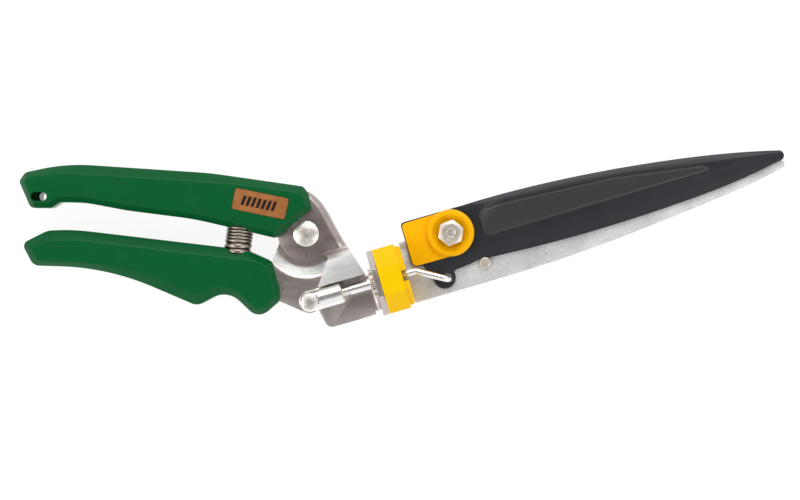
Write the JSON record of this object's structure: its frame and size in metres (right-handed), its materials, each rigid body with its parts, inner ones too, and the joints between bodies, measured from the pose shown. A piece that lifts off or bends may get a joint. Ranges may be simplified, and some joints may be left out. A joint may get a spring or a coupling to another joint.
{
  "type": "grass shears",
  "caption": "One-handed grass shears: sprung green grips, pull rod, swivelling octagonal head and a pair of long blades.",
  "frame": {"origin": "centre of the whole tool's underside, on the surface that it lies on", "axes": "+X from the grips to the blade tips, +Y towards the upper grip, +Z out of the tool's front"},
  "size_m": [0.3302, 0.0766, 0.0284],
  "materials": {
    "grip": "glossy moulded green plastic",
    "label": "satin copper-coloured foil",
    "frame_steel": "satin stamped steel",
    "rivet": "polished steel",
    "spring_steel": "dark spring steel",
    "bright_steel": "bright zinc-plated steel",
    "zinc": "zinc-plated steel",
    "collar": "glossy yellow plastic",
    "cover": "glossy orange-yellow plastic",
    "blade_black": "black non-stick coating",
    "blade_steel": "satin stainless steel",
    "nylon": "natural nylon"
  },
  "bodies": {
    "upper_handle": {"upper_grip": "grip", "label_plate": "label", "upper_frame": "frame_steel", "pivot_rivet": "rivet", "pivot_spacer": "zinc", "handle_spring": "spring_steel"},
    "lower_handle": {"lower_grip": "grip", "lower_frame": "frame_steel"},
    "clevis_joint": {"clevis": "bright_steel", "clevis_rivet": "rivet"},
    "pull_rod_body": {"pull_rod": "bright_steel", "hook_wire": "bright_steel"},
    "head": {"swivel_tube": "zinc", "star_washer": "zinc", "swivel_spring": "spring_steel", "swivel_collar": "collar", "fixed_blade": "blade_steel", "stop_pin": "zinc", "blade_bolt": "zinc", "blade_bush": "zinc", "disc_spring": "spring_steel", "blade_nut": "zinc", "nylon_ring": "nylon"},
    "cutting_blade": {"moving_blade": "blade_black", "pivot_cover": "cover"}
  },
  "joints": [
    {"name": "handle_hinge", "type": "hinge", "parent": "upper_handle", "child": "lower_handle", "pos_m": [-0.04218, 0.00209, 0.0142], "axis": [0, 0, 1], "range_deg": [0, 16], "stiffness_Nm_per_rad": 1, "springref_deg": 20.8, "deforming": ["handle_spring"]},
    {"name": "clevis_hinge", "type": "hinge", "parent": "lower_handle", "child": "clevis_joint", "pos_m": [-0.0405, -0.02706, 0.0142], "axis": [0, 0, 1], "range_deg": [-16, 0]},
    {"name": "rod_spin", "type": "hinge", "parent": "clevis_joint", "child": "pull_rod_body", "pos_m": [-0.0405, -0.02706, 0.0142], "axis": [0.9613, 0.2756, 0], "range_deg": [-90, 90]},
    {"name": "head_swivel", "type": "hinge", "parent": "upper_handle", "child": "head", "pos_m": [-0.01241, -0.01937, 0.0142], "axis": [0.9613, 0.2756, 0], "range_deg": [-90, 90]},
    {"name": "blade_hinge", "type": "hinge", "parent": "head", "child": "cutting_blade", "pos_m": [0.02023, 0.00247, 0.0142], "axis": [0, 0, 1], "range_deg": [0, 24.17]}
  ],
  "couplings": [
    {"joint": "clevis_hinge", "follows": "handle_hinge", "ratio": -1},
    {"joint": "blade_hinge", "follows": "handle_hinge", "ratio": 1.51},
    {"joint": "rod_spin", "follows": "head_swivel", "ratio": 1}
  ]
}
